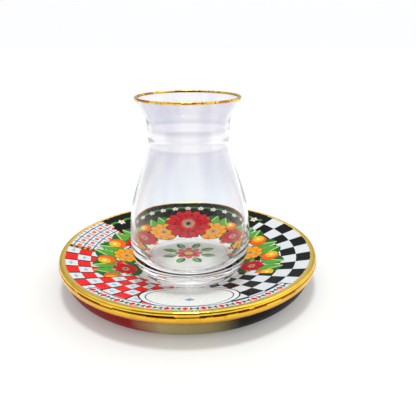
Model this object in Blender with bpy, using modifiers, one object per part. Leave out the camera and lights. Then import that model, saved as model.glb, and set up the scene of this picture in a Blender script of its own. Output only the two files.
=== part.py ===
"""Thin-waisted clear tea glass with a gilded lip, standing on a round saucer with a gilded edge.

Both pieces are turned. Lengths are in metres and +Z is up. The origin is the middle of the
saucer, on the surface that it stands on, and the front of the object faces -Y.
"""
import math

import bpy

# Saucer: heights above the surface that it stands on
SAUCER_RADIUS = 0.0700
SAUCER_HEIGHT = 0.0174
SAUCER_THICKNESS = 0.0044
WELL_RADIUS = 0.0300
WELL_HEIGHT = 0.0076
WELL_BEND = 0.0060
EDGE_INNER_RADIUS = 0.0672
EDGE_INNER_HEIGHT = 0.0170
EDGE_CREST_RADIUS = 0.0686
EDGE_WIDEST_HEIGHT = 0.0152
EDGE_LOWER_RADIUS = 0.0684
EDGE_LOWER_HEIGHT = 0.0119
EDGE_OVERHANG = 0.0004
SIDE_ROUND = 0.0116
FOOT_WIDTH = 0.0038
FOOT_CHAMFER = 0.0005
RECESS_HEIGHT = 0.0030
RECESS_RADIUS = 0.0335
GROOVE_DRAFT = 0.0015
GROOVE_BEND = 0.0040
SAUCER_STEPS = 56

# Glass: heights above its own base
GLASS_HEIGHT = 0.0928
LIP_RADIUS = 0.0257
LIP_WALL = 0.0013
BELLY_WALL = 0.0018
FLARE_RADIUS = 0.0226
FLARE_HEIGHT = 0.0869
FLARE_SLOPE = 0.62
NECK_RADIUS = 0.0200
NECK_RING_TOP = 0.0788
NECK_RING_BOTTOM = 0.0730
NECK_RING_PROUD = 0.0002
WAIST_BOTTOM = 0.0722
SHOULDER_RADIUS = 0.0235
SHOULDER_HEIGHT = 0.0579
SHOULDER_SLOPE = -0.38
BELLY_RADIUS = 0.0312
BELLY_HEIGHT = 0.0194
BASE_RADIUS = 0.0165
BASE_FULLNESS = 2.15
BASE_THICKNESS = 0.0062
PUSH_UP_RADIUS = 0.0120
PUSH_UP_HEIGHT = 0.0007
INNER_FLOOR_RADIUS = 0.0060
GLASS_STEPS = 48

# The glass stands in front of the saucer's middle, and a hair to its right
GLASS_FORWARD = 0.0118
GLASS_RIGHT = 0.0009
STANDING_GAP = 0.0003

MERGE_DISTANCE = 0.00001


def rounded(start, corner, end, steps):
    """Points of a curve that leaves start towards corner and comes to end from it."""
    points = []
    for i in range(steps + 1):
        t = i / steps
        weights = ((1 - t) ** 2, 2 * t * (1 - t), t * t)
        radius = sum(w * p[0] for w, p in zip(weights, (start, corner, end)))
        height = sum(w * p[1] for w, p in zip(weights, (start, corner, end)))
        points.append((radius, height))
    return points


def arc(centre, half_width, half_height, start, end, steps, fullness=2.0):
    """Points of an elliptic arc, from angle start to end in degrees; fullness 2 is a true ellipse."""
    points = []
    for i in range(steps + 1):
        angle = math.radians(start + (end - start) * i / steps)
        across = math.copysign(abs(math.cos(angle)) ** (2 / fullness), math.cos(angle))
        up = math.copysign(abs(math.sin(angle)) ** (2 / fullness), math.sin(angle))
        points.append((centre[0] + half_width * across, centre[1] + half_height * up))
    return points


def joined(*runs):
    """One outline from several runs of points, with points that coincide left out."""
    outline = []
    for point in (p for run in runs for p in run):
        if not outline or math.dist(point, outline[-1]) > 2 * MERGE_DISTANCE:
            outline.append(point)
    return outline


def swept(top, middle, bottom, slope, steps):
    """An S curve, upright at top and bottom; slope is how fast its radius grows with height at middle."""
    upper_corner = (top[0], middle[1] + (top[0] - middle[0]) / slope)
    lower_corner = (bottom[0], middle[1] + (bottom[0] - middle[0]) / slope)
    upper = rounded(top, upper_corner, middle, steps)
    lower = rounded(middle, lower_corner, bottom, steps)
    return joined(upper, lower)


def glass_side():
    """The glass's outer side from just under the lip down to the widest part of the belly."""
    lip = (LIP_RADIUS, GLASS_HEIGHT - LIP_WALL / 2)
    flare = swept(lip, (FLARE_RADIUS, FLARE_HEIGHT), (NECK_RADIUS, NECK_RING_TOP), FLARE_SLOPE,
                  steps=4)
    ring = []
    ring_steps = 5
    for i in range(1, ring_steps):
        t = i / ring_steps
        height = NECK_RING_TOP + (NECK_RING_BOTTOM - NECK_RING_TOP) * t
        ring.append((NECK_RADIUS + NECK_RING_PROUD * math.sin(math.pi * t), height))
    waist = [(NECK_RADIUS, NECK_RING_BOTTOM), (NECK_RADIUS, WAIST_BOTTOM)]
    body = swept(waist[1], (SHOULDER_RADIUS, SHOULDER_HEIGHT), (BELLY_RADIUS, BELLY_HEIGHT),
                 SHOULDER_SLOPE, steps=5)
    return joined(flare, ring, waist, body)


def glass_outline():
    """Half section of the glass: floor, inner side, lip, outer side and base."""
    outer = glass_side()
    top, bottom = outer[0][1], outer[-1][1]
    inner = []
    for radius, height in reversed(outer):
        wall = LIP_WALL + (BELLY_WALL - LIP_WALL) * (top - height) / (top - bottom)
        inner.append((radius - wall, height))
    inner_floor = arc((INNER_FLOOR_RADIUS, BELLY_HEIGHT),
                      BELLY_RADIUS - BELLY_WALL - INNER_FLOOR_RADIUS,
                      BELLY_HEIGHT - BASE_THICKNESS, -90, 0, 7)
    lip = arc((LIP_RADIUS - LIP_WALL / 2, top), LIP_WALL / 2, LIP_WALL / 2, 180, 0, 5)
    base = arc((BASE_RADIUS, BELLY_HEIGHT), BELLY_RADIUS - BASE_RADIUS, BELLY_HEIGHT,
               0, -90, 8, BASE_FULLNESS)
    push_up = [(PUSH_UP_RADIUS, 0), (PUSH_UP_RADIUS - PUSH_UP_HEIGHT, PUSH_UP_HEIGHT), (0, PUSH_UP_HEIGHT)]
    return joined([(0, BASE_THICKNESS)], inner_floor, inner, lip, outer, base, push_up)


def saucer_outline():
    """Half section of the saucer: well, sloping dish, rounded edge, side, foot and recess."""
    slope = (EDGE_INNER_HEIGHT - WELL_HEIGHT) / (EDGE_INNER_RADIUS - WELL_RADIUS)
    dish = rounded((WELL_RADIUS - WELL_BEND, WELL_HEIGHT), (WELL_RADIUS, WELL_HEIGHT),
                   (WELL_RADIUS + WELL_BEND, WELL_HEIGHT + WELL_BEND * slope), 4)
    edge_inner = (EDGE_INNER_RADIUS, EDGE_INNER_HEIGHT)
    crest = (EDGE_CREST_RADIUS, SAUCER_HEIGHT)
    widest = (SAUCER_RADIUS, EDGE_WIDEST_HEIGHT)
    edge_lower = (EDGE_LOWER_RADIUS, EDGE_LOWER_HEIGHT)
    rise = (SAUCER_HEIGHT - EDGE_INNER_HEIGHT) / 2
    over = rounded(edge_inner, (EDGE_INNER_RADIUS + rise, SAUCER_HEIGHT), crest, 3)
    outer = rounded(crest, (SAUCER_RADIUS, SAUCER_HEIGHT), widest, 4)
    under = rounded(widest, (SAUCER_RADIUS, EDGE_LOWER_HEIGHT), edge_lower, 4)
    side_centre = (EDGE_LOWER_RADIUS - EDGE_OVERHANG - SIDE_ROUND, SIDE_ROUND)
    side = arc(side_centre, SIDE_ROUND, SIDE_ROUND, 0, -90, 8)
    foot_radius = side_centre[0] - FOOT_WIDTH
    foot = [(foot_radius, 0), (foot_radius - FOOT_CHAMFER, FOOT_CHAMFER)]
    groove_radius = foot_radius - GROOVE_DRAFT
    groove_top = WELL_HEIGHT + slope * (groove_radius - WELL_RADIUS) - SAUCER_THICKNESS
    groove = rounded((groove_radius, RECESS_HEIGHT), (groove_radius, groove_top),
                     (groove_radius - GROOVE_BEND, groove_top - GROOVE_BEND * slope), 3)
    recess = [(RECESS_RADIUS, RECESS_HEIGHT), (0, RECESS_HEIGHT)]
    return joined([(0, WELL_HEIGHT)], dish, over, outer, under, side, foot, groove, recess)


def material(name, colour, roughness, metallic=0.0, transmission=0.0):
    """A plain surface finish."""
    finish = bpy.data.materials.new(name)
    finish.use_nodes = True
    shader = finish.node_tree.nodes["Principled BSDF"]
    shader.inputs["Base Color"].default_value = (*colour, 1)
    shader.inputs["Roughness"].default_value = roughness
    shader.inputs["Metallic"].default_value = metallic
    shader.inputs["Transmission Weight"].default_value = transmission
    return finish


def turned(name, outline, steps, finish, collection):
    """A piece turned round the Z axis from its half section."""
    mesh = bpy.data.meshes.new(name)
    vertices = [(radius, 0, height) for radius, height in outline]
    mesh.from_pydata(vertices, [(i, i + 1) for i in range(len(vertices) - 1)], [])
    mesh.materials.append(finish)
    piece = bpy.data.objects.new(name, mesh)
    collection.objects.link(piece)
    turn = piece.modifiers.new("Turn", "SCREW")
    turn.axis = "Z"
    turn.angle = math.tau
    turn.steps = steps
    turn.render_steps = steps
    turn.use_merge_vertices = True
    turn.merge_threshold = MERGE_DISTANCE
    turn.use_smooth_shade = True
    return piece


def main():
    """Clear the scene, then build the saucer and the glass that stands in it."""
    for old in list(bpy.data.objects):
        bpy.data.objects.remove(old)
    collection = bpy.data.collections.new("turkish_tea_glass")
    bpy.context.scene.collection.children.link(collection)
    ceramic = material("saucer_glaze", (0.82, 0.83, 0.82), 0.12)
    clear = material("clear_glass", (0.95, 0.96, 1.0), 0.02, transmission=1.0)
    turned("saucer", saucer_outline(), SAUCER_STEPS, ceramic, collection)
    glass = turned("tea_glass", glass_outline(), GLASS_STEPS, clear, collection)
    glass.location = (GLASS_RIGHT, -GLASS_FORWARD, WELL_HEIGHT + STANDING_GAP)


main()
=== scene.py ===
"""Gilded tea glass on its decorated saucer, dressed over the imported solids.

Each piece is turned from a short cage of rings and finished by a Subdivision Surface, in the place
of the solid that it stands for. Objects are in metres. The cages and the decor are in millimetres.
The front of the object faces -Y.
"""
import math
from collections import namedtuple

import bmesh
import bpy
from bpy.props import FloatProperty, FloatVectorProperty, IntProperty, PointerProperty
from mathutils import Matrix, Vector


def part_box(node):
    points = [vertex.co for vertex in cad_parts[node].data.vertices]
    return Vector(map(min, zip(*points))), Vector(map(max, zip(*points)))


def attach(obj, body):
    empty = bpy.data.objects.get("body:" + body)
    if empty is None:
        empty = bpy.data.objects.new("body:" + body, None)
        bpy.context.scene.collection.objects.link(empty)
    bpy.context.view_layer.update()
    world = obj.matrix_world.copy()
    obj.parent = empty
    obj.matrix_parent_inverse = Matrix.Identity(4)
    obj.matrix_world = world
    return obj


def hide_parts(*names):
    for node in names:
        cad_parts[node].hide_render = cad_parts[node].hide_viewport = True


bl_info = {
    "name": "Gilded Tea Glass",
    "version": (1, 0, 0),
    "blender": (4, 5, 0),
    "location": "View3D > Sidebar > Tea Glass",
    "description": "Builds a thin-waisted tea glass with a gilded lip on its decorated saucer",
    "category": "Add Mesh",
}

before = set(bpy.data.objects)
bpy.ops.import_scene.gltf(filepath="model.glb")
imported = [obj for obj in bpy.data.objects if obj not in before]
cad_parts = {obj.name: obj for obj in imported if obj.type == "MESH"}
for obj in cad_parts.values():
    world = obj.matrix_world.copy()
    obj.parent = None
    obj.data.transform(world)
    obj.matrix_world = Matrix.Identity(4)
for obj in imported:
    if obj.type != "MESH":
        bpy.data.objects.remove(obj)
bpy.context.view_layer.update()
GLASS_LOW, GLASS_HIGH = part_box("tea_glass")
SAUCER_LOW, SAUCER_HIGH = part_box("saucer")

MM = 0.001
MERGE_DISTANCE = 0.000001
UPWARD_FACE = 0.2

# Cages: radius and height of each ring, for a belly of 31.2 mm and a saucer of 70 mm
GLASS_CAGE = {
    "belly": 31.2,
    "height": 92.8,
    "inside": (
        (0, 6.2), (6, 6.2), (12, 6.25), (17, 6.6), (20.8, 7.5), (23.7, 9.1), (26.0, 11.6),
        (28.0, 15.0), (29.3, 20.0), (29.4, 26), (28.8, 33), (27.5, 40), (25.6, 47.2), (23.2, 54.3),
        (21.0, 60.4), (19.4, 65.6), (18.6, 70), (18.4, 74), (18.45, 78), (18.9, 81), (19.9, 84.2),
        (21.55, 87.5), (23.2, 89.9), (24.15, 91.4),
    ),
    "lip": ((24.42, 92.3), (24.8, 92.8), (25.3, 92.8), (25.68, 92.3)),
    "outside": (
        (25.5, 91.4), (24.7, 89.8), (22.95, 87.5), (21.3, 84.3), (20.5, 82), (20.2, 80.3),
        (20.12, 79.2), (20.2, 78.1), (20.28, 76.8), (20.28, 75.2), (20.2, 73.9), (20.03, 72.9),
        (19.95, 71.8), (19.97, 70.6), (20.15, 69), (20.8, 65.7), (22.4, 60.4),
        (24.7, 54.3), (27.2, 47.2), (29.3, 40), (30.5, 33), (31.1, 26), (31.3, 20), (31.0, 15.2),
        (30.2, 11.2), (28.9, 8), (27.1, 5.2), (24.8, 2.9), (22.0, 1.25), (19.3, 0.3), (17.2, 0.02),
    ),
    "base": ((15.8, 0), (13.6, 0.08), (9, 0.22), (4, 0.3), (0, 0.3)),
}
SAUCER_CAGE = {
    "radius": 70.0,
    "height": 17.4,
    "dish": (
        (0, 7.6), (12, 7.6), (22, 7.6), (26, 7.65), (30, 8.0), (34, 8.75), (40, 10.13),
        (48, 12.15), (56, 14.17), (63, 15.94), (66, 16.7), (67.2, 17.02),
    ),
    "edge": (
        (67.7, 17.26), (68.4, 17.36), (69.1, 17.1), (69.4, 16.6), (69.5, 15.9), (69.6, 15.4),
        (69.85, 14.8), (69.9, 13.8), (69.4, 12.6), (68.6, 11.95), (68.05, 11.5),
    ),
    "side": (
        (67.95, 10.2), (67.3, 7.6), (66.0, 5.05), (64.0, 2.85), (61.6, 1.25), (59.2, 0.35),
        (57.2, 0.02),
    ),
    "foot": (
        (56.2, 0), (53.0, 0), (52.2, 0.25), (51.7, 1.2), (51.15, 3.0), (51.0, 5.6), (50.5, 7.1),
        (49.0, 7.7), (47.0, 7.45), (43, 6.3), (38.5, 4.8), (35.2, 3.55), (33.2, 3.05), (28, 3.0),
        (14, 3.0), (0, 3.0),
    ),
}
SAUCER_GILDING = (
    (68.0, 17.0), (68.05, 17.3), (68.4, 17.52), (68.9, 17.56), (69.35, 17.38), (69.68, 17.0),
    (69.85, 16.5), (69.86, 16.1), (69.72, 15.8), (69.74, 15.55), (70.0, 15.35), (70.16, 14.9),
    (70.16, 14.0), (69.9, 13.0), (69.45, 12.3), (68.85, 11.6), (68.4, 11.05), (68.1, 10.85),
    (67.6, 11.2), (68.3, 12.3), (69.1, 13.1), (69.45, 14.3), (69.4, 15.3), (69.1, 16.3),
    (68.6, 16.8),
)
LIP_GILDING = (
    (24.22, 91.72), (24.34, 92.25), (24.42, 92.6), (24.75, 92.9), (25.35, 92.9), (25.72, 92.55),
    (25.76, 92.2), (25.63, 91.68), (25.42, 91.78), (25.4, 92.3), (25.2, 92.5), (24.9, 92.5),
    (24.65, 92.3), (24.42, 91.8),
)

# The photograph's camera: where it stands, and how it is turned, in radians
CAMERA_PLACE = (0.0, -0.24113, 0.12661)
CAMERA_PITCH = 0.3470
CAMERA_YAW = 0.0452
CAMERA_ROLL = -0.0025
SENSOR_WIDTH = 36.0

# Check fields: radius where the rings begin, and the width and angle of a cell
CHECK_START = 27.4
BLACK_RING, BLACK_CELL = 8.0, 9.0
RED_RING, RED_CELL = 6.6, 7.2
DOT_RING, DOT_CELL = 5.4, 5.7

# In shares of a cell, from its middle: fleck and line of the red check, grid and dot of the panel
FLECK_HALF_WIDTH, FLECK_HALF_HEIGHT = 0.28, 0.1556
CHECK_LINE = 0.43
GRID_RING, GRID_SPOKE = 0.44, 0.45
DOT_RADIUS = 0.2345

# Angles from the back, in degrees: the dotted panel, the dark ground and the garland
SEAM = -86.0
PANEL_END = -52.0
SEAM_REACH = 20.0
GROUND_TURN, GROUND_REACH = 2.0, 52.0
GARLAND_REACH, FLOWER_REACH = 122.0, 121.5
GARLAND_CELL = 27.0

# Places of the decor, in mm from the saucer's middle, and the angles of their cells
LEAF_PLACE = 38.0
FLOWER_PLACE, LARGE_FLOWER_PLACE = 36.0, 42.0
BLOSSOM_PLACE, BLOSSOM_CELL = 60.5, 9.0
BORDER_LINE, BORDER_INNER, BORDER_MIDDLE = 60.6, 61.3, 63.9
BORDER_CELL, BORDER_REACH, BORDER_END = 3.6, 47.0, 0.6
MEDALLION_PLACE, MEDALLION_RADIUS, MEDALLION_FLATNESS = 47.0, 15.6, 0.42
MIDDLE_RADIUS, SCALLOP_DEPTH, SCALLOP_TURNS = 31.0, 1.5, 12
ROSETTE_RING, ROSETTE_LEAF_PLACE, ROSETTE_CELL = 23.5, 7.0, 45.0

# Inner line of the gilt: radius, how far it wanders, and the way in y over which it moves 1 mm
GILT_RADIUS, GILT_WANDER, GILT_SLOPE = 66.9, 1.4, 60.0

# Motifs: sizes in mm from their own middles, or petals in a turn
BEAD_PITCH, BEAD_RADIUS = 3.0, 0.949
BLOSSOM_PETALS, BLOSSOM_RADIUS, BLOSSOM_PETAL, BLOSSOM_HEART = 5, 1.2, 1.3, 0.8
BOW_HALF_HEIGHT, BOW_SPREAD = 1.7, 0.28
OUTLINE, RIM_LINE, FINE_LINE = 0.5, 0.4, 0.2
MEDALLION_LINE, MEDALLION_LOZENGE = 2.2, 4.0
BERRY_ASIDE, BERRY_INWARD, BERRY_RADIUS = 5.2, 12.0, 1.61
FRUIT_OUTWARD, FRUIT_RADIUS, FRUIT_OUTLINE = 7.5, 4.85, 0.35
GLOSS_ASIDE, GLOSS_OUTWARD, GLOSS_RADIUS, SHINE_RADIUS = 1.6, 8.6, 3.4, 1.1
CRIMSON_PETALS, YELLOW_PETALS, LARGE_FLOWER_PETALS = 12, 9, 13
FLOWER_RADIUS, LARGE_FLOWER_RADIUS = 10.8, 15.5
ROSETTE_PETALS, ROSETTE_RADIUS, ROSETTE_PETAL = 8, 5.1, 2.6
ROSETTE_INNER_RADIUS, ROSETTE_INNER_PETAL, ROSETTE_HEART = 3.2, 1.4, 2.6

# How much smaller a flower of the garland is for each degree from the back, in mm
FLOWER_SHRINK = 0.04

# Leaves: place of the root, length and width in mm, and lean in degrees
SPRIG_LEAF = ((1.4, 0.6), 4.6, 2.2, 78)
OUTER_LEAF = ((1.2, 2), 15, 11, 34)
INNER_LEAF = ((0.8, 1), 12, 9, 36)
ROSETTE_LEAF = ((0, 0), 10, 5, 0)

# Lozenges: half width and half height, in shares of a border cell and mm, or both in mm
BORDER_LOZENGE = (0.425, 2.125)
BORDER_SPECK = (0.13, 0.4333)
SMALL_LOZENGE = (2.5556, 2.3)

# Gilded edge: heights above the table and half widths of its painted reflections, in mm: a dark line, a
# brown-orange band and a deeper orange lower side
DARK_REFLECTION_HEIGHT, DARK_REFLECTION_HALF = 15.72, 0.3
BROWN_REFLECTION_HEIGHT, BROWN_REFLECTION_HALF = 15.2, 0.35
LOWER_REFLECTION_HEIGHT, LOWER_REFLECTION_HALF = 13.2, 2.6

# Foot and glass: heights above the table and fades in mm, and how pale the waist's ring of painted
# highlight gets
BARE_FOOT_HEIGHT, BARE_FOOT_RADIUS = 0.35, 51.0
BELLY_TINT_HEIGHT, WAIST_TINT_HEIGHT = 36.0, 84.0
BASE_TINT_HEIGHT, BASE_TINT_FADE = 20.0, 18.0
HIGHLIGHT_RING_HEIGHT, HIGHLIGHT_RING_HALF, HIGHLIGHT_RING_PALENESS = 81.0, 4.6, 0.68
# Darker lines at the glass's two creases are painted shade
UPPER_CREASE_SHADE, LOWER_CREASE_SHADE, CREASE_SHADE_FADE = 85.8, 76.6, 4.0


def tint(red, green, blue):
    """A display colour of 0 to 255 as the linear colour that a shader takes."""
    shares = (value / 255 for value in (red, green, blue))
    return tuple(s / 12.92 if s <= 0.04045 else ((s + 0.055) / 1.055) ** 2.4 for s in shares)


# Print colours beside the ones that can be set
CHECK_WHITE = tint(218, 224, 229)
CHECK_FLECK = tint(150, 185, 215)
BEAD_GROUND = tint(70, 48, 24)
BEAD_GOLD = tint(206, 150, 40)
SPRIG_GREEN = tint(58, 128, 52)
BLOSSOM_WHITE = tint(232, 226, 214)
BOW_GREEN = tint(38, 74, 48)
LOZENGE_BLUE = tint(120, 160, 200)
RIM_GREY = tint(118, 128, 136)
FINE_LINE_GREY = tint(150, 156, 160)
LEAF_DARK = tint(30, 98, 40)
LEAF_RIB = tint(170, 205, 120)
FRUIT_SHINE = tint(250, 228, 150)
CRIMSON_SHADE = tint(110, 4, 20)
LARGE_FLOWER_SHADE = tint(118, 6, 22)
ROSETTE_SHADE = tint(150, 8, 20)
DARK_HEART = tint(38, 24, 30)
BROWN_HEART = tint(170, 60, 14)
HEART_RING = tint(222, 190, 150)
PRINT_DUST = tint(70, 66, 60)
PALE_GOLD = tint(255, 222, 112)

# Gold, side and foot
# Edge gold: the lower-side, band and line colours are painted reflections; the patch and worn colours are
# the gold's own
GOLD_LOWER_REFLECTION = tint(232, 150, 24)
GOLD_PATCH = tint(176, 92, 28)
GOLD_WORN = tint(96, 52, 18)
GOLD_BROWN_REFLECTION = tint(150, 58, 18)
GOLD_DARK_REFLECTION = tint(56, 22, 12)
GOLD_DEPTH = (0.72, 0.52, 0.34)
# Side colours as they look in shade: the red, black and pale fields are the side's own, their darkness
# and the olive cast of the pale front are painted shade
SIDE_STOPS_IN_SHADE = (
    (0.0, tint(52, 44, 42)), (0.20, tint(112, 22, 20)), (0.435, tint(128, 18, 20)),
    (0.468, tint(156, 142, 104)), (0.525, tint(134, 122, 82)), (0.56, tint(17, 15, 18)),
    (0.80, tint(18, 19, 27)), (1.0, tint(52, 44, 42)),
)
SIDE_SPECK = tint(180, 150, 120)
FOOT_CREAM = tint(226, 221, 208)
FOOT_CLOUD = tint(196, 186, 166)
FOOT_SPECK = tint(150, 132, 108)
BARE_CLAY = tint(206, 192, 168)

# Glass and studio
WHITE = (1.0, 1.0, 1.0)
BASE_TINT = (0.94, 0.925, 0.91)
SEE_THROUGH = (0.52, 0.49, 0.47)
FLOOR_GRAIN = (0.6, 0.6, 0.62)
SKY_SEEN = (0.985, 0.99, 1.0)
SKY_LIGHT = (1.0, 0.95, 0.87)
LAMP_COLOUR = (0.9, 0.96, 1.0)
LAMP_SPREAD, LAMP_TILT = 12.0, -4.0
SOFT_STEP = {"interpolation_type": "SMOOTHSTEP"}
FLOOR_HALF_WIDTH = 6
DIM_FRONT = (0.0, -0.97, 0.24)


class GlassSettings(bpy.types.PropertyGroup):
    """Sizes and tint of the glass."""

    belly_radius: FloatProperty(
        name="Belly Radius", description="Half the width of the glass at its widest",
        default=(GLASS_HIGH.x - GLASS_LOW.x) / 2, min=0.01, unit="LENGTH")
    height: FloatProperty(
        name="Height", description="Height of the glass from its base to its lip",
        default=GLASS_HIGH.z - GLASS_LOW.z, min=0.02, unit="LENGTH")
    steps: IntProperty(
        name="Steps", description="Sides of the turned cage before it is subdivided",
        default=48, min=12)
    clear: FloatVectorProperty(
        name="Clear Glass", description="Tint that light takes on in the belly of the glass",
        default=(0.91, 0.955, 1.0), subtype="COLOR")
    # The deeper tint in the waist and mouth is painted shade over the glass's own tint
    waist_tint: FloatVectorProperty(
        name="Waist Glass", description="Tint that light takes on in the waist and mouth",
        default=(0.755, 0.755, 0.85), subtype="COLOR")
    gold: FloatVectorProperty(
        name="Lip Gold", description="Colour of the gilding on the lip",
        default=tint(250, 206, 76), subtype="COLOR")


class SaucerSettings(bpy.types.PropertyGroup):
    """Sizes and colours of the saucer."""

    radius: FloatProperty(
        name="Radius", description="Half the width of the saucer",
        default=(SAUCER_HIGH.x - SAUCER_LOW.x) / 2, min=0.03, unit="LENGTH")
    height: FloatProperty(
        name="Height", description="Height of the saucer's edge above the table",
        default=SAUCER_HIGH.z - SAUCER_LOW.z, min=0.005, unit="LENGTH")
    steps: IntProperty(
        name="Steps", description="Sides of the turned cage before it is subdivided",
        default=64, min=12)
    glaze: FloatVectorProperty(
        name="Glaze", description="Pale ground of the decor",
        default=tint(234, 237, 235), subtype="COLOR")
    scarlet: FloatVectorProperty(
        name="Scarlet", description="Red of the left check and of the border",
        default=tint(238, 22, 24), subtype="COLOR")
    crimson: FloatVectorProperty(
        name="Crimson", description="Red of the large flowers",
        default=tint(216, 18, 32), subtype="COLOR")
    ink: FloatVectorProperty(
        name="Ink", description="Black of the right check and of the outlines",
        default=tint(7, 7, 9), subtype="COLOR")
    blue: FloatVectorProperty(
        name="Blue", description="Blue of the lines",
        default=tint(42, 80, 125), subtype="COLOR")
    orange: FloatVectorProperty(
        name="Orange", description="Orange of the small flowers and dots",
        default=tint(236, 96, 32), subtype="COLOR")
    yellow: FloatVectorProperty(
        name="Yellow", description="Yellow of the round blossoms",
        default=tint(232, 178, 24), subtype="COLOR")
    leaf: FloatVectorProperty(
        name="Leaf", description="Light side of the leaves",
        default=tint(84, 162, 54), subtype="COLOR")
    gold: FloatVectorProperty(
        name="Edge Gold", description="Colour of the gilding on the edge",
        default=tint(252, 208, 70), subtype="COLOR")


class StudioSettings(bpy.types.PropertyGroup):
    """Camera, floor and light."""

    lens: FloatProperty(
        name="Lens", description="Focal length in mm on a sensor 36 mm wide", default=40.73, min=10)
    floor: FloatVectorProperty(
        name="Floor", description="Colour of the floor", default=(0.72, 0.72, 0.72), subtype="COLOR")
    sky: FloatProperty(
        name="Surroundings", description="Strength of the light all around", default=0.9, min=0)
    room: FloatProperty(
        name="Walls", description="How bright the walls look in what the gold and glaze mirror",
        default=0.8, min=0)
    overhead: FloatProperty(
        name="Overhead Lamp", description="Strength of the soft lamp above", default=1.4, min=0)


class Socket:
    """A node's output that takes part in arithmetic; each operator adds a Math node."""

    def __init__(self, nodes, output):
        self.nodes = nodes
        self.output = output

    def math(self, operation, *values):
        settings = {"operation": operation}
        return self.nodes.add("ShaderNodeMath", settings, dict(enumerate(values)))

    def __add__(self, other):
        return self.math("ADD", self, other)

    def __sub__(self, other):
        return self.math("SUBTRACT", self, other)

    def __rsub__(self, other):
        return self.math("SUBTRACT", other, self)

    def __mul__(self, other):
        return self.math("MULTIPLY", self, other)

    def __truediv__(self, other):
        return self.math("DIVIDE", self, other)

    def __mod__(self, other):
        return self.math("FLOORED_MODULO", self, other)

    def __lt__(self, other):
        return self.math("LESS_THAN", self, other)

    def __gt__(self, other):
        return self.math("GREATER_THAN", self, other)

    def __and__(self, other):
        return self.math("MINIMUM", self, other)

    def __or__(self, other):
        return self.math("MAXIMUM", self, other)

    def __abs__(self):
        return self.math("ABSOLUTE", self)

    __radd__ = __add__
    __rmul__ = __mul__

    def floor(self):
        return self.math("FLOOR", self)

    def sine(self):
        return self.math("SINE", self)

    def cosine(self):
        return self.math("COSINE", self)

    def root(self):
        return self.math("SQRT", self)


class Nodes:
    """A node tree that is being wired."""

    def __init__(self, tree):
        self.tree = tree

    def add(self, kind, settings=(), inputs=(), output=0):
        """Add a node: settings first, then values or links for its sockets. Returns one output."""
        node = self.tree.nodes.new(kind)
        for name, value in dict(settings).items():
            if name == "stops":
                ramp = node.color_ramp.elements
                while len(ramp) < len(value):
                    ramp.new(1)
                for element, (place, colour) in zip(ramp, value):
                    element.position = place
                    element.color = (*colour, 1)
            else:
                setattr(node, name, value)
        for key, value in dict(inputs).items():
            self.put(node.inputs[key], value)
        return Socket(self, node.outputs[output])

    def put(self, socket, value):
        """Link a Socket to a node's input, or set the input's own value."""
        if isinstance(value, Socket):
            self.tree.links.new(value.output, socket)
        elif socket.type == "RGBA":
            socket.default_value = (*value[:3], 1)
        else:
            socket.default_value = value

    def mix(self, mask, below, above):
        """The colour above where mask is 1 and below where it is 0."""
        return self.add("ShaderNodeMix", {"data_type": "RGBA"}, {0: mask, 6: below, 7: above}, 2)

    def layered(self, ground, *layers):
        """The ground colour with layers of (mask, colour) laid over it in turn."""
        for mask, colour in layers:
            ground = self.mix(mask, ground, colour)
        return ground

    def angle(self, across, along):
        """Angle of a point, in degrees, from the direction along."""
        return Socket(self, None).math("ARCTAN2", across, along) * math.degrees(1)

    def noise(self, scale, detail=2.0, vector=None):
        """A soft noise around 0.5; scale is for a place in metres unless a vector is given."""
        if vector is None:
            vector = self.add("ShaderNodeTexCoord", output="Object")
        return self.add("ShaderNodeTexNoise", (), {"Vector": vector, "Scale": scale, "Detail": detail})


class Finish(Nodes):
    """A material with a Principled shader whose steady values are set on its own sockets."""

    def __init__(self, name, steady):
        self.material = bpy.data.materials.new(name)
        self.material.use_nodes = True
        super().__init__(self.material.node_tree)
        self.shader = self.tree.nodes["Principled BSDF"]
        self.output = self.tree.nodes["Material Output"]
        self.set(steady)

    def set(self, values):
        """Set or link sockets of the Principled shader."""
        for name, value in values.items():
            self.put(self.shader.inputs[name], value)

    def place(self):
        """Place on the object in mm, as three numbers."""
        here = self.add("ShaderNodeTexCoord", output="Object")
        scaled = self.add("ShaderNodeMapping", (), {"Vector": here, "Scale": (1000, 1000, 1000)})
        split = self.add("ShaderNodeSeparateXYZ", (), {0: scaled}).output.node
        return [Socket(self, output) for output in split.outputs]

    def relief(self, height, depth):
        """Bump of a height between 0 and 1; depth is in metres."""
        bump = self.add("ShaderNodeBump", (), {"Height": height, "Strength": 1.0, "Distance": depth})
        self.set({"Normal": bump})


def repeated(angle, pitch, shift=0.0):
    """The middle of the cell of a ring of cells that an angle is in; all in degrees."""
    return ((angle - shift) / pitch + 0.5).floor() * pitch + shift


def turned_to(angle, radius, middle, distance):
    """Place round a cell's middle: across it and out from it, in mm."""
    turn = (angle - middle) * math.radians(1)
    return radius * turn.sine(), radius * turn.cosine() - distance


def reach(across, out):
    """Distance of a place from its own middle."""
    return (across * across + out * out).root()


def is_odd(count):
    """Mask of the odd ones among whole numbers."""
    return count % 2 > 0.5


def off_middle(cells):
    """How far a place is from the middle of its cell, where each cell is 1 wide."""
    return abs(cells % 1 - 0.5)


def in_lozenge(across, out, half_width, half_height):
    """Mask of a lozenge, from distances to its middle that aren't negative."""
    return across / half_width + out / half_height < 1


def leaf_shape(across, out, root, length, width, lean):
    """Masks of a leaf, its midrib and its light side, from its root outwards; lean is in degrees."""
    cosine, sine = math.cos(math.radians(lean)), math.sin(math.radians(lean))
    x, y = across - root[0], out - root[1]
    along = (y * cosine + x * sine) / length
    aside = (x * cosine - y * sine) / width
    blade = (abs(aside) < along * (1 - along) * 2) & (along > 0)
    return blade, blade & (abs(aside) < 0.05), aside > 0


def leaf_green(finish, colours, rib, light):
    """Colours of a leaf: dark, with a light side and a pale midrib."""
    return finish.layered(LEAF_DARK, (light, colours.leaf), (rib, LEAF_RIB))


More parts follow.
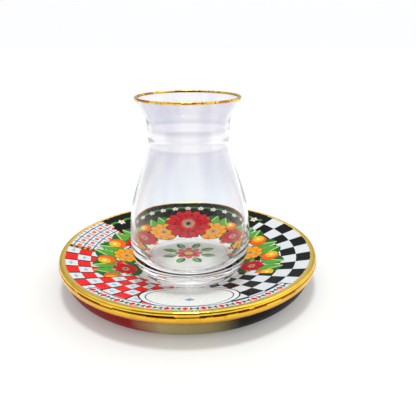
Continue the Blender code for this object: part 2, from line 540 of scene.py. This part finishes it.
def open_flower(finish, across, out, radius, petals, petal, shade, heart):
    """Outline, petals and colours of an open flower; its rings are shares of its radius."""
    share = reach(across, out) / radius
    turn = finish.angle(across, out) * math.radians(1)
    wave = abs((turn * (petals / 2)).cosine())
    inner_wave = abs((turn * (petals / 2) + 1.1).cosine())
    grain = (turn * 30).sine() * 0.08
    streak = ((turn * 46).sine() > 0.8) & (share > 0.5)
    colours = finish.layered(
        petal, (streak, shade), ((share + grain) < (inner_wave * 0.2 + 0.42), shade),
        ((share + grain) < (inner_wave * 0.16 + 0.34), petal), ((wave < 0.2) & (share > 0.4), shade),
        (share < 0.27, heart), ((abs(share - 0.19) + grain) < 0.04, HEART_RING))
    return share < wave * 0.2 + 0.84, share < wave * 0.2 + 0.79, colours


# A place on the print: x, y and radius in mm, and its angles from the front and from the back
Spot = namedtuple("Spot", "x y radius front back")


def check_fields(finish, spot, colours):
    """Black check on the right, red check on the left, and a dotted panel at the back left."""
    left = spot.front < 0
    ring = (spot.radius - CHECK_START) / (BLACK_RING - left * (BLACK_RING - RED_RING))
    sector = (spot.front + 180) / (BLACK_CELL - left * (BLACK_CELL - RED_CELL))
    odd = is_odd(ring.floor() + sector.floor())
    aside = off_middle(sector)
    fleck = in_lozenge(aside, off_middle(ring), FLECK_HALF_WIDTH, FLECK_HALF_HEIGHT)
    red_check = finish.layered(colours.scarlet, (odd, CHECK_WHITE), (odd & fleck, CHECK_FLECK),
                               (aside > CHECK_LINE, colours.ink))
    black_check = finish.layered(colours.ink, (odd, CHECK_WHITE))
    dot_out = off_middle((spot.radius - CHECK_START) / DOT_RING)
    dot_aside = off_middle((spot.back - SEAM) / DOT_CELL)
    dots = finish.layered(
        CHECK_WHITE, ((dot_out > GRID_RING) | (dot_aside > GRID_SPOKE), colours.blue),
        (reach(dot_aside, dot_out) < DOT_RADIUS, colours.orange))
    panel = (spot.back < PANEL_END) & (spot.back > SEAM)
    return finish.layered(finish.mix(left, black_check, red_check), (panel, dots))


def beaded_seam(finish, spot, field):
    """Beaded line between the red check and the dotted panel."""
    across, _ = turned_to(spot.back, spot.radius, SEAM, 0)
    bead_out = spot.radius % BEAD_PITCH - BEAD_PITCH / 2
    near = abs(spot.back - SEAM) < SEAM_REACH
    return finish.layered(
        field, ((abs(across) < BEAD_PITCH / 2) & near, BEAD_GROUND),
        ((reach(across, bead_out) < BEAD_RADIUS) & near, BEAD_GOLD))


def dark_ground(finish, spot, colours, field):
    """Dark ground at the back, with a ring of small white blossoms on green sprigs."""
    cell = repeated(spot.back, BLOSSOM_CELL)
    across, out = turned_to(spot.back, spot.radius, cell, BLOSSOM_PLACE)
    petals = abs((finish.angle(across, out) * math.radians(BLOSSOM_PETALS / 2)).cosine())
    distance = reach(across, out)
    sprig, _, _ = leaf_shape(abs(across), out, *SPRIG_LEAF)
    dark = finish.layered(
        colours.ink, (sprig, SPRIG_GREEN),
        (distance < petals * BLOSSOM_PETAL + BLOSSOM_RADIUS, BLOSSOM_WHITE),
        (distance < BLOSSOM_HEART, colours.yellow))
    return finish.mix(abs(spot.back + GROUND_TURN) < GROUND_REACH, field, dark)


def border(finish, spot, colours, field):
    """Blue line along the front, and a narrow border of lozenges and bows."""
    cell = spot.front / BORDER_CELL
    odd = is_odd(cell.floor())
    aside = off_middle(cell)
    out = abs(spot.radius - BORDER_MIDDLE)
    bow = (out * BOW_SPREAD < aside) & (out < BOW_HALF_HEIGHT)
    trim = finish.layered(
        CHECK_WHITE, (in_lozenge(aside, out, *BORDER_LOZENGE) & odd, colours.scarlet),
        (bow & (1 - odd), BOW_GREEN), (in_lozenge(aside, out, *BORDER_SPECK), colours.ink))
    line = (abs(spot.front) < BORDER_REACH) & (spot.radius > BORDER_LINE)
    inside = (abs(spot.front) < BORDER_REACH - BORDER_END) & (spot.radius > BORDER_INNER)
    return finish.layered(field, (line, colours.blue), (inside, trim))


def pale_grounds(finish, spot, colours, field):
    """Oval medallion at the front, and the pale middle with its scalloped rim."""
    forward = spot.y + MEDALLION_PLACE
    medallion = (spot.x * spot.x * MEDALLION_FLATNESS + forward * forward).root()
    rim = spot.radius - abs((spot.front * math.radians(SCALLOP_TURNS)).sine()) * SCALLOP_DEPTH
    return finish.layered(
        field,
        ((medallion < MEDALLION_RADIUS) & (spot.radius < BORDER_LINE + RIM_LINE), colours.ink),
        ((medallion < MEDALLION_RADIUS - OUTLINE) & (spot.radius < BORDER_LINE), colours.glaze),
        (abs(medallion - MEDALLION_RADIUS + MEDALLION_LINE) < FINE_LINE, colours.blue),
        (in_lozenge(abs(spot.x), abs(forward + MEDALLION_LOZENGE), *SMALL_LOZENGE), LOZENGE_BLUE),
        (rim < MIDDLE_RADIUS, RIM_GREY), (rim < MIDDLE_RADIUS - RIM_LINE, colours.glaze))


def leaves_and_fruit(finish, spot, colours, field):
    """Pairs of leaves that point out and in, with an orange between them and berries inside."""
    shown = abs(spot.back) < GARLAND_REACH
    cell = repeated(spot.back, GARLAND_CELL, GARLAND_CELL / 2)
    across, out = turned_to(spot.back, spot.radius, cell, LEAF_PLACE)
    outer = leaf_shape(abs(across), out, *OUTER_LEAF)
    inner = leaf_shape(abs(across), 0 - out, *INNER_LEAF)
    for blade, rib, light in (outer, inner):
        field = finish.mix(blade & shown, field, leaf_green(finish, colours, rib, light))
    berry = reach(abs(across) - BERRY_ASIDE, out + BERRY_INWARD)
    fruit = reach(across, out - FRUIT_OUTWARD)
    gloss = reach(across + GLOSS_ASIDE, out - GLOSS_OUTWARD)
    return finish.layered(
        field, ((berry < BERRY_RADIUS) & shown, colours.orange),
        ((fruit < FRUIT_RADIUS + FRUIT_OUTLINE) & shown, colours.ink),
        ((fruit < FRUIT_RADIUS) & shown, colours.orange),
        ((gloss < GLOSS_RADIUS) & shown, colours.yellow),
        ((gloss < SHINE_RADIUS) & shown, FRUIT_SHINE))


def flowers(finish, spot, colours, field):
    """Crimson and yellow flowers in turn round the garland, and a large crimson one at the back."""
    shown = abs(spot.back) < FLOWER_REACH
    cell = repeated(spot.back, GARLAND_CELL)
    across, out = turned_to(spot.back, spot.radius, cell, FLOWER_PLACE)
    yellow = is_odd(cell / GARLAND_CELL)
    outline, petal, flower = open_flower(
        finish, across, out, FLOWER_RADIUS - abs(cell) * FLOWER_SHRINK,
        CRIMSON_PETALS + yellow * (YELLOW_PETALS - CRIMSON_PETALS),
        finish.mix(yellow, colours.crimson, colours.yellow),
        finish.mix(yellow, CRIMSON_SHADE, colours.orange), finish.mix(yellow, DARK_HEART, BROWN_HEART))
    field = finish.layered(field, (outline & shown, colours.ink), (petal & shown, flower))
    outline, petal, flower = open_flower(
        finish, spot.x, spot.y - LARGE_FLOWER_PLACE, LARGE_FLOWER_RADIUS, LARGE_FLOWER_PETALS,
        colours.crimson, LARGE_FLOWER_SHADE, DARK_HEART)
    return finish.layered(field, (outline, colours.ink), (petal, flower))


def rosette(finish, spot, colours, field):
    """Rosette in the middle, between eight leaves and inside a fine ring."""
    cell = repeated(spot.back, ROSETTE_CELL, ROSETTE_CELL / 2)
    across, out = turned_to(spot.back, spot.radius, cell, ROSETTE_LEAF_PLACE)
    blade, rib, light = leaf_shape(across, out, *ROSETTE_LEAF)
    petals = abs((spot.back * math.radians(ROSETTE_PETALS / 2)).cosine())
    edge = petals * ROSETTE_PETAL + ROSETTE_RADIUS
    return finish.layered(
        field, (abs(spot.radius - ROSETTE_RING) < FINE_LINE, FINE_LINE_GREY),
        (blade, leaf_green(finish, colours, rib, light)),
        (spot.radius < edge + OUTLINE, colours.ink), (spot.radius < edge, colours.scarlet),
        (spot.radius < petals * ROSETTE_INNER_PETAL + ROSETTE_INNER_RADIUS, ROSETTE_SHADE),
        (spot.radius < ROSETTE_HEART, colours.yellow))


def printed_decor(colours):
    """Glazed print of the dish, from its check fields up to the gold of the edge."""
    finish = Finish("printed_decor", {"Specular IOR Level": 0.06})
    x, y, _ = finish.place()
    spot = Spot(x, y, reach(x, y), finish.angle(x, 0 - y), finish.angle(x, y))
    field = beaded_seam(finish, spot, check_fields(finish, spot, colours))
    for lay in (dark_ground, border, pale_grounds, leaves_and_fruit, flowers, rosette):
        field = lay(finish, spot, colours, field)

    # The gold's inner line wanders a little, and the band is wider at the front
    wander = finish.noise(330, 2) * GILT_WANDER - GILT_WANDER / 2
    gilt = (spot.radius + wander - y / GILT_SLOPE) > GILT_RADIUS

    dust = finish.noise(60, 3) * 0.05
    finish.set({
        "Base Color": finish.layered(field, (dust, PRINT_DUST), (gilt, PALE_GOLD)),
        "Roughness": (finish.noise(900, 2) * 0.06 + 0.24) * (1 - gilt * 0.5),
        "Metallic": gilt,
    })
    finish.relief(finish.noise(170, 2), 0.00003)
    return finish.material


def coloured_side():
    """Outer side: red on the left, blue-black on the right, pale between them, with painted shade that
    darkens the red and turns the pale olive beige.
    """
    finish = Finish("coloured_side", {"Specular IOR Level": 0.06})
    x, y, _ = finish.place()
    drift = finish.noise(45, 3) * 16 - 8
    front = finish.angle(x, 0 - y) + drift
    ramp = finish.add("ShaderNodeValToRGB", {"stops": SIDE_STOPS_IN_SHADE}, {"Fac": front / 360 + 0.5})
    speckle = finish.noise(1500, 2) > 0.66
    finish.set({
        "Base Color": finish.layered(ramp, (speckle * 0.05, SIDE_SPECK)),
        "Roughness": finish.noise(700, 2) * 0.14 + 0.34,
    })
    finish.relief(finish.noise(160, 2), 0.00012)
    return finish.material


def foot_glaze():
    """Underside: cream glaze with fine specks, and a bare, matt ring where the saucer stands."""
    finish = Finish("foot_glaze", {"Coat Roughness": 0.05, "IOR": 1.5})
    x, y, z = finish.place()
    bare = (z < BARE_FOOT_HEIGHT) & (reach(x, y) > BARE_FOOT_RADIUS)
    speck = finish.noise(2600, 1) > 0.7
    finish.set({
        "Base Color": finish.layered(
            FOOT_CREAM, (finish.noise(90, 3) * 0.2, FOOT_CLOUD), (speck * 0.5, FOOT_SPECK),
            (bare, BARE_CLAY)),
        "Roughness": bare * 0.5 + 0.25,
        "Coat Weight": 1 - bare,
    })
    finish.relief(finish.noise(220, 2), 0.00015)
    return finish.material


def gilding(name, colour, wear, shade):
    """Burnished gold, brushed on round the piece, with worn spots and painted reflections on the edge."""
    finish = Finish(name, {"Metallic": 1.0})
    x, y, z = finish.place()
    stroke_place = finish.add("ShaderNodeCombineXYZ", (), {
        0: finish.angle(x, y) * 0.35, 1: reach(x, y) * 1.2, 2: z * 1.2})
    stroke = finish.noise(1.0, 3, stroke_place)
    patch = finish.noise(95, 1) > 0.54
    # Painted reflections on the saucer's edge: a dark line, a brown-orange band under it and a deeper
    # orange over the lower side; the line and band are strongest at the front
    frontal = 0.55 - y / 150
    painted_dark_line = (abs(z - DARK_REFLECTION_HEIGHT) < DARK_REFLECTION_HALF) * frontal * (finish.noise(80, 2) > 0.45)
    brown_reflection = (abs(z - BROWN_REFLECTION_HEIGHT) < BROWN_REFLECTION_HALF) * frontal * (finish.noise(60, 2) > 0.5)
    lower_reflection = 1 - abs(z - LOWER_REFLECTION_HEIGHT) / LOWER_REFLECTION_HALF
    worn = finish.noise(620, 3) > wear
    deep = tuple(share * depth for share, depth in zip(colour, GOLD_DEPTH))
    finish.set({
        "Base Color": finish.layered(
            colour, (stroke * 0.3, deep), (lower_reflection * 0.6, GOLD_LOWER_REFLECTION), (patch * shade, GOLD_PATCH),
            (worn * 0.7, GOLD_WORN), (brown_reflection * 0.8, GOLD_BROWN_REFLECTION), (painted_dark_line, GOLD_DARK_REFLECTION)),
        "Roughness": stroke * 0.08 + 0.04,
    })
    finish.relief(stroke, 0.00006)
    return finish.material


def clear_glass(belly, waist):
    """Pressed clear glass, with painted highlights and painted shade in its tint, and a clear shadow."""
    finish = Finish("clear_glass", {
        "Transmission Weight": 1.0, "IOR": 1.5, "Specular Tint": (0.4, 0.4, 0.4)})
    x, y, z = finish.place()
    wave_place = finish.add("ShaderNodeCombineXYZ", (), {0: x * 0.04, 1: y * 0.04, 2: z * 0.02})
    finish.relief(finish.noise(1.0, 1, wave_place), 0.00008)
    # Paler upright streaks in the tint are painted highlights
    streak_place = finish.add("ShaderNodeCombineXYZ", (), {0: x * 0.11, 1: y * 0.11, 2: z * 0.005})
    streak = ((finish.noise(1.0, 2, streak_place) - 0.36) * 3.4) & 1.0
    # Towards the waist and mouth the tint deepens: painted shade
    height = finish.add("ShaderNodeMapRange", SOFT_STEP, {
        "Value": z, "From Min": BELLY_TINT_HEIGHT, "From Max": WAIST_TINT_HEIGHT})
    low = 1 - (z - BASE_TINT_HEIGHT) / BASE_TINT_FADE
    # A paler ring round the waist is a painted highlight; darker lines at the two creases are painted
    # shade
    ring = ((1 - abs(z - HIGHLIGHT_RING_HEIGHT) / HIGHLIGHT_RING_HALF) * 2.0) & HIGHLIGHT_RING_PALENESS
    painted_dark_line = (0.5 - abs(z - UPPER_CREASE_SHADE) / CREASE_SHADE_FADE) | (0.3 - abs(z - LOWER_CREASE_SHADE) / CREASE_SHADE_FADE)
    finish.set({
        "Base Color": finish.layered(
            belly, (height, waist), (low, BASE_TINT), (streak * 0.5, WHITE), (ring, WHITE),
            (painted_dark_line, tuple(share * 0.9 for share in waist))),
        "Roughness": (finish.noise(240, 3) > 0.62) * 0.02,
    })
    shadow_ray = finish.add("ShaderNodeLightPath", output="Is Shadow Ray")
    see_through = finish.add("ShaderNodeBsdfTransparent", (), {"Color": SEE_THROUGH})
    both = finish.add("ShaderNodeMixShader", (), {
        0: shadow_ray, 1: Socket(finish, finish.shader.outputs[0]), 2: see_through})
    finish.put(finish.output.inputs["Surface"], both)
    return finish.material


def turned(cage, width_scale, height_scale, place, steps, closed=False):
    """Spin a cage of (radius, height) rings in mm round the Z axis, then set it in its place."""
    bm = bmesh.new()
    rings = [bm.verts.new((radius * width_scale * MM, 0, height * height_scale * MM))
             for radius, height in cage]
    for lower, upper in zip(rings, rings[1:]):
        bm.edges.new((lower, upper))
    if closed:
        bm.edges.new((rings[-1], rings[0]))
    bmesh.ops.spin(bm, geom=bm.verts[:] + bm.edges[:], cent=(0, 0, 0), axis=(0, 0, 1),
                   dvec=(0, 0, 0), angle=math.tau, steps=steps, use_merge=True)
    bmesh.ops.remove_doubles(bm, verts=bm.verts[:], dist=MERGE_DISTANCE)
    bmesh.ops.recalc_face_normals(bm, faces=bm.faces[:])
    bmesh.ops.translate(bm, verts=bm.verts[:], vec=place)
    return bm


def dressed(context, name, bm, materials, node, levels=2):
    """Make a smooth piece of a bmesh, that rides with the object and stands for one solid."""
    mesh = bpy.data.meshes.new(name)
    bm.to_mesh(mesh)
    bm.free()
    mesh.shade_smooth()
    for material in materials:
        mesh.materials.append(material)
    piece = bpy.data.objects.new(name, mesh)
    context.scene.collection.objects.link(piece)
    smoothing = piece.modifiers.new("Smooth", "SUBSURF")
    smoothing.levels = smoothing.render_levels = levels
    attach(piece, "root")
    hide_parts(node)
    return piece


def saucer_scale(settings):
    """How much wider and higher than its cage the saucer is to be."""
    return (settings.radius / MM / SAUCER_CAGE["radius"],
            settings.height / MM / SAUCER_CAGE["height"])


def glass_scale(settings):
    """How much wider and higher than its cage the glass is to be."""
    return (settings.belly_radius / MM / GLASS_CAGE["belly"],
            settings.height / MM / GLASS_CAGE["height"])


def glass_place():
    """Middle of the glass's base."""
    middle = (GLASS_LOW + GLASS_HIGH) / 2
    return Vector((middle.x, middle.y, GLASS_LOW.z))


class TEAWARE_OT_saucer(bpy.types.Operator):
    """Turn the saucer and lay its printed dish, coloured side and glazed foot"""

    bl_idname = "teaware.saucer"
    bl_label = "Saucer"

    def execute(self, context):
        settings = context.scene.tea_saucer
        wide, high = saucer_scale(settings)
        cage = [ring for part in ("dish", "edge", "side", "foot") for ring in SAUCER_CAGE[part]]
        bm = turned(cage, wide, high, (0, 0, SAUCER_LOW.z), settings.steps)
        foot_outer = SAUCER_CAGE["foot"][0][0] * wide * MM
        for face in bm.faces:
            middle = face.calc_center_median()
            outside = math.hypot(middle.x, middle.y) > foot_outer
            if face.normal.z < UPWARD_FACE:
                face.material_index = 1 if outside else 2
        materials = (printed_decor(settings), coloured_side(), foot_glaze())
        dressed(context, "saucer_body", bm, materials, "saucer")
        return {"FINISHED"}


class TEAWARE_OT_saucer_gilding(bpy.types.Operator):
    """Lay the gold over the saucer's rounded edge, with a slightly wandering inner line"""

    bl_idname = "teaware.saucer_gilding"
    bl_label = "Saucer Gilding"

    def execute(self, context):
        settings = context.scene.tea_saucer
        wide, high = saucer_scale(settings)
        bm = turned(SAUCER_GILDING, wide, high, (0, 0, SAUCER_LOW.z), settings.steps * 2, True)
        material = gilding("edge_gold", settings.gold, wear=0.71, shade=0.15)
        dressed(context, "saucer_gold_edge", bm, (material,), "saucer", 1)
        return {"FINISHED"}


class TEAWARE_OT_glass(bpy.types.Operator):
    """Turn the clear glass: thick base, round belly, ringed waist and flared mouth"""

    bl_idname = "teaware.glass"
    bl_label = "Glass"

    def execute(self, context):
        settings = context.scene.tea_glass
        wide, high = glass_scale(settings)
        cage = [ring for part in ("inside", "lip", "outside", "base") for ring in GLASS_CAGE[part]]
        bm = turned(cage, wide, high, glass_place(), settings.steps)
        material = clear_glass(settings.clear, settings.waist_tint)
        dressed(context, "glass_body", bm, (material,), "tea_glass")
        return {"FINISHED"}


class TEAWARE_OT_lip_gilding(bpy.types.Operator):
    """Lay the thin band of gold over the glass's lip"""

    bl_idname = "teaware.lip_gilding"
    bl_label = "Lip Gilding"

    def execute(self, context):
        settings = context.scene.tea_glass
        wide, high = glass_scale(settings)
        bm = turned(LIP_GILDING, wide, high, glass_place(), settings.steps * 2, True)
        material = gilding("lip_gold", settings.gold, wear=0.6, shade=0.75)
        dressed(context, "glass_gold_lip", bm, (material,), "tea_glass", 1)
        return {"FINISHED"}


class TEAWARE_OT_studio(bpy.types.Operator):
    """Set the pale floor, the soft light all around, the overhead lamp and the camera"""

    bl_idname = "teaware.studio"
    bl_label = "Studio"

    def execute(self, context):
        settings = context.scene.tea_studio
        self.lay_floor(context, settings)
        self.light(context, settings)
        self.aim_camera(context, settings)
        context.scene.view_settings.view_transform = "Standard"
        # The thick base mirrors light many times before it leaves the glass
        cycles = context.scene.cycles
        cycles.max_bounces = cycles.transmission_bounces = 32
        cycles.glossy_bounces = 24
        cycles.caustics_reflective = False
        cycles.caustics_refractive = True
        return {"FINISHED"}

    def lay_floor(self, context, settings):
        """A wide floor of smooth pale board."""
        bm = bmesh.new()
        bmesh.ops.create_grid(bm, x_segments=1, y_segments=1, size=FLOOR_HALF_WIDTH)
        mesh = bpy.data.meshes.new("studio_floor")
        bm.to_mesh(mesh)
        bm.free()
        finish = Finish("pale_board", {
            "Roughness": 0.7, "Specular IOR Level": 0.2, "Emission Color": WHITE,
            "Emission Strength": 0.17})
        grain = finish.noise(900, 3) * 0.05
        finish.set({"Base Color": finish.layered(settings.floor, (grain, FLOOR_GRAIN))})
        mesh.materials.append(finish.material)
        floor = bpy.data.objects.new("studio_floor", mesh)
        context.scene.collection.objects.link(floor)

    def light(self, context, settings):
        """White surroundings, mirrored as a bright ceiling and walls that are dim in front; a lamp."""
        world = bpy.data.worlds.new("white_room")
        world.use_nodes = True
        context.scene.world = world
        nodes = Nodes(world.node_tree)
        direction = nodes.add("ShaderNodeTexCoord", output="Generated")
        aside, away, up = (nodes.add("ShaderNodeSeparateXYZ", (), {0: direction}, axis) for axis in "XYZ")
        around = (aside * 0.3 - away * 0.2 + 1) * settings.sky
        walls = nodes.add("ShaderNodeMapRange", SOFT_STEP, {
            "Value": up, "From Min": 0.5, "From Max": 0.68, "To Min": settings.room, "To Max": 1.3})
        frontal = nodes.add("ShaderNodeVectorMath", {"operation": "DOT_PRODUCT"}, {
            0: direction, 1: DIM_FRONT}, "Value")
        front = nodes.add("ShaderNodeMapRange", SOFT_STEP, {
            "Value": frontal, "From Min": 0.45, "From Max": 0.82, "To Min": 1.0, "To Max": 0.22})
        far = nodes.add("ShaderNodeMapRange", SOFT_STEP, {
            "Value": away, "From Min": 0.45, "From Max": 0.85, "To Min": 1.0, "To Max": 0.74})
        lighting = nodes.add("ShaderNodeLightPath", output="Diffuse Depth") > 0.5
        mirrored = nodes.add("ShaderNodeLightPath", output="Is Glossy Ray") & (1 - lighting)
        room = walls * front * far * (aside * 0.3 + 1)
        background = world.node_tree.nodes["Background"]
        nodes.put(background.inputs["Color"], nodes.mix(lighting, SKY_SEEN, SKY_LIGHT))
        nodes.put(background.inputs["Strength"], 1 + lighting * (around - 1) + mirrored * (room - 1))
        lamp = bpy.data.lights.new("overhead_lamp", "SUN")
        lamp.angle = math.radians(LAMP_SPREAD)
        lamp.energy = settings.overhead
        lamp.color = LAMP_COLOUR
        holder = bpy.data.objects.new("overhead_lamp", lamp)
        holder.rotation_euler = (math.radians(LAMP_TILT), 0, 0)
        context.scene.collection.objects.link(holder)

    def aim_camera(self, context, settings):
        """The photograph's camera."""
        ahead = Vector((math.sin(CAMERA_YAW) * math.cos(CAMERA_PITCH),
                        math.cos(CAMERA_YAW) * math.cos(CAMERA_PITCH), -math.sin(CAMERA_PITCH)))
        right = Vector((math.cos(CAMERA_YAW), -math.sin(CAMERA_YAW), 0))
        level = Matrix((right, right.cross(ahead), -ahead)).transposed()
        turned_camera = level @ Matrix.Rotation(CAMERA_ROLL, 3, "Z")
        camera = bpy.data.cameras.new("camera")
        camera.sensor_width = SENSOR_WIDTH
        camera.lens = settings.lens
        camera.clip_start = 0.01
        holder = bpy.data.objects.new("camera", camera)
        context.scene.collection.objects.link(holder)
        holder.matrix_world = Matrix.Translation(CAMERA_PLACE) @ turned_camera.to_4x4()
        context.scene.camera = holder


class TEAWARE_PT_sidebar(bpy.types.Panel):
    """Sidebar panel with the steps and their settings"""

    bl_idname = "TEAWARE_PT_sidebar"
    bl_label = "Tea Glass"
    bl_space_type = "VIEW_3D"
    bl_region_type = "UI"
    bl_category = "Tea Glass"

    def draw(self, context):
        for group in (context.scene.tea_glass, context.scene.tea_saucer, context.scene.tea_studio):
            box = self.layout.box()
            for name in group.__annotations__:
                box.prop(group, name)
        for operator in OPERATORS:
            self.layout.operator(operator.bl_idname)


SETTINGS = {"tea_glass": GlassSettings, "tea_saucer": SaucerSettings, "tea_studio": StudioSettings}
OPERATORS = (TEAWARE_OT_saucer, TEAWARE_OT_saucer_gilding, TEAWARE_OT_glass,
             TEAWARE_OT_lip_gilding, TEAWARE_OT_studio)


def register():
    for cls in (*SETTINGS.values(), *OPERATORS, TEAWARE_PT_sidebar):
        bpy.utils.register_class(cls)
    for name, group in SETTINGS.items():
        setattr(bpy.types.Scene, name, PointerProperty(type=group))


def unregister():
    for name in SETTINGS:
        delattr(bpy.types.Scene, name)
    for cls in (TEAWARE_PT_sidebar, *reversed(OPERATORS), *SETTINGS.values()):
        bpy.utils.unregister_class(cls)


def main():
    """Build every piece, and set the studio."""
    register()
    bpy.ops.teaware.saucer()
    bpy.ops.teaware.saucer_gilding()
    bpy.ops.teaware.glass()
    bpy.ops.teaware.lip_gilding()
    bpy.ops.teaware.studio()


if __name__ == "__main__":
    main()
